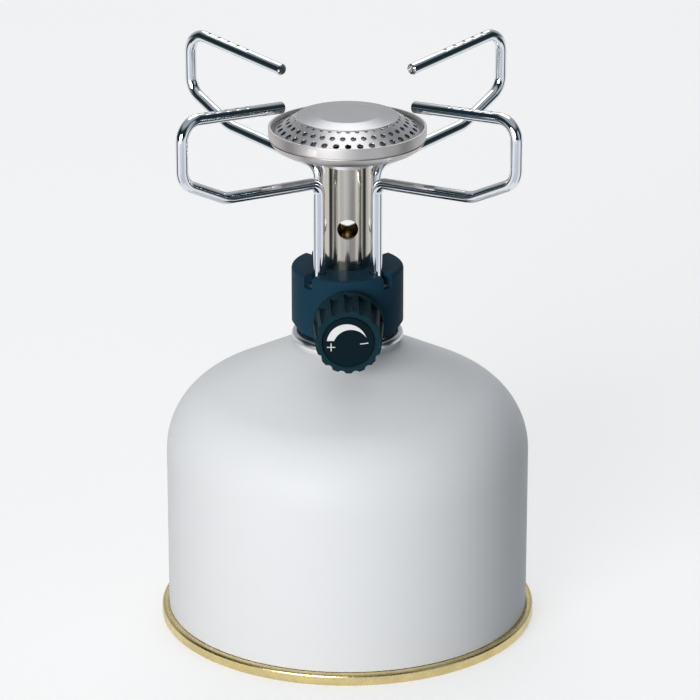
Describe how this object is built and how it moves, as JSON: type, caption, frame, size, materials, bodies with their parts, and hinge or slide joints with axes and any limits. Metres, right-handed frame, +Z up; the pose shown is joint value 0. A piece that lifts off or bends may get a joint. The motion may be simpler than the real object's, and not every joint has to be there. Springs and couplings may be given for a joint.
{
  "type": "backpacking stove",
  "caption": "Canister-top gas stove screwed on a domed white gas canister, with a perforated burner, folding wire pot supports and a fluted valve knob.",
  "frame": {"origin": "middle of the canister's base ring, on the plane that it stands on", "axes": "+Z up along the burner's axis, the valve knob faces -Y, +X to the right of a viewer at -Y"},
  "size_m": [0.11, 0.11, 0.1662],
  "materials": {
    "canister_lacquer": "gloss white lacquer on drawn steel",
    "seam_lacquer": "gold lacquer on tinplate",
    "tinplate": "bright tinplate",
    "seal_rubber": "matt black",
    "valve_plastic": "natural, as moulded",
    "spring_steel": "drawn wire",
    "valve_brass": "turned",
    "cover_teal": "satin dark blue-green",
    "carrier_steel": "plain",
    "tube_nickel": "bright nickel plate",
    "burner_steel": "spun stainless, fine circular brushing",
    "wire_chrome": "bright chrome plate",
    "knob_plastic": "satin dark blue-green",
    "cap_plastic": "satin, printed in white",
    "screw_steel": "zinc plate"
  },
  "bodies": {
    "canister": {"canister_shell": "canister_lacquer", "canister_base": "seam_lacquer", "valve_cup": "tinplate", "cup_gasket": "seal_rubber", "valve_housing": "valve_plastic", "stem_gasket": "seal_rubber", "valve_spring": "spring_steel"},
    "canister_stem": {"valve_stem": "valve_plastic"},
    "adapter_seal": {"adapter_o_ring": "seal_rubber"},
    "stove": {"valve_body": "valve_brass", "body_cover": "cover_teal", "depressor_pin": "screw_steel", "arm_carrier": "carrier_steel", "gas_jet": "valve_brass", "jet_filter": "carrier_steel", "mixing_tube": "tube_nickel", "burner_bowl": "burner_steel", "burner_cap": "burner_steel", "packing_nut": "valve_brass"},
    "support_front_left": {"pot_support_front_left": "wire_chrome", "support_clip_front_left": "carrier_steel"},
    "support_front_right": {"pot_support_front_right": "wire_chrome", "support_clip_front_right": "carrier_steel"},
    "support_rear_left": {"pot_support_rear_left": "wire_chrome", "support_clip_rear_left": "carrier_steel"},
    "support_rear_right": {"pot_support_rear_right": "wire_chrome", "support_clip_rear_right": "carrier_steel"},
    "spindle_seal": {"spindle_o_ring": "seal_rubber"},
    "valve_knob": {"spindle": "valve_brass", "knob": "knob_plastic", "knob_cap": "cap_plastic", "knob_screw": "screw_steel"}
  },
  "joints": [
    {"name": "stove_lift", "type": "slide", "parent": "canister", "child": "adapter_seal", "axis": [0, 0, 1], "range_m": [0, 0.00726]},
    {"name": "stove_unscrew", "type": "hinge", "parent": "adapter_seal", "child": "stove", "pos_m": [0, 0, 0.08], "axis": [0, 0, 1], "range_deg": [0, 2881]},
    {"name": "stem_rise", "type": "slide", "parent": "canister", "child": "canister_stem", "axis": [0, 0, 1], "range_m": [0, 0.00121], "deforming": ["valve_spring"]},
    {"name": "fold_front_left", "type": "hinge", "parent": "stove", "child": "support_front_left", "pos_m": [-0.00817, -0.00817, 0.1036], "axis": [0, 0, -1], "range_deg": [0, 50]},
    {"name": "fold_front_right", "type": "hinge", "parent": "stove", "child": "support_front_right", "pos_m": [0.00817, -0.00817, 0.1036], "axis": [0, 0, 1], "range_deg": [0, 50]},
    {"name": "fold_rear_left", "type": "hinge", "parent": "stove", "child": "support_rear_left", "pos_m": [-0.00817, 0.00817, 0.1036], "axis": [0, 0, 1], "range_deg": [0, 50]},
    {"name": "fold_rear_right", "type": "hinge", "parent": "stove", "child": "support_rear_right", "pos_m": [0.00817, 0.00817, 0.1036], "axis": [0, 0, -1], "range_deg": [0, 50]},
    {"name": "spindle_feed", "type": "slide", "parent": "stove", "child": "spindle_seal", "axis": [0, -1, 0], "range_m": [0, 0.0012]},
    {"name": "knob_turn", "type": "hinge", "parent": "spindle_seal", "child": "valve_knob", "pos_m": [0, -0.025, 0.09619], "axis": [0, -1, 0], "range_deg": [0, 541]}
  ],
  "couplings": [
    {"joint": "stove_unscrew", "follows": "stove_lift", "rad_per_m": 6926.3},
    {"joint": "stem_rise", "follows": "stove_lift", "ratio": 0.16535},
    {"joint": "knob_turn", "follows": "spindle_feed", "rad_per_m": 7854}
  ]
}
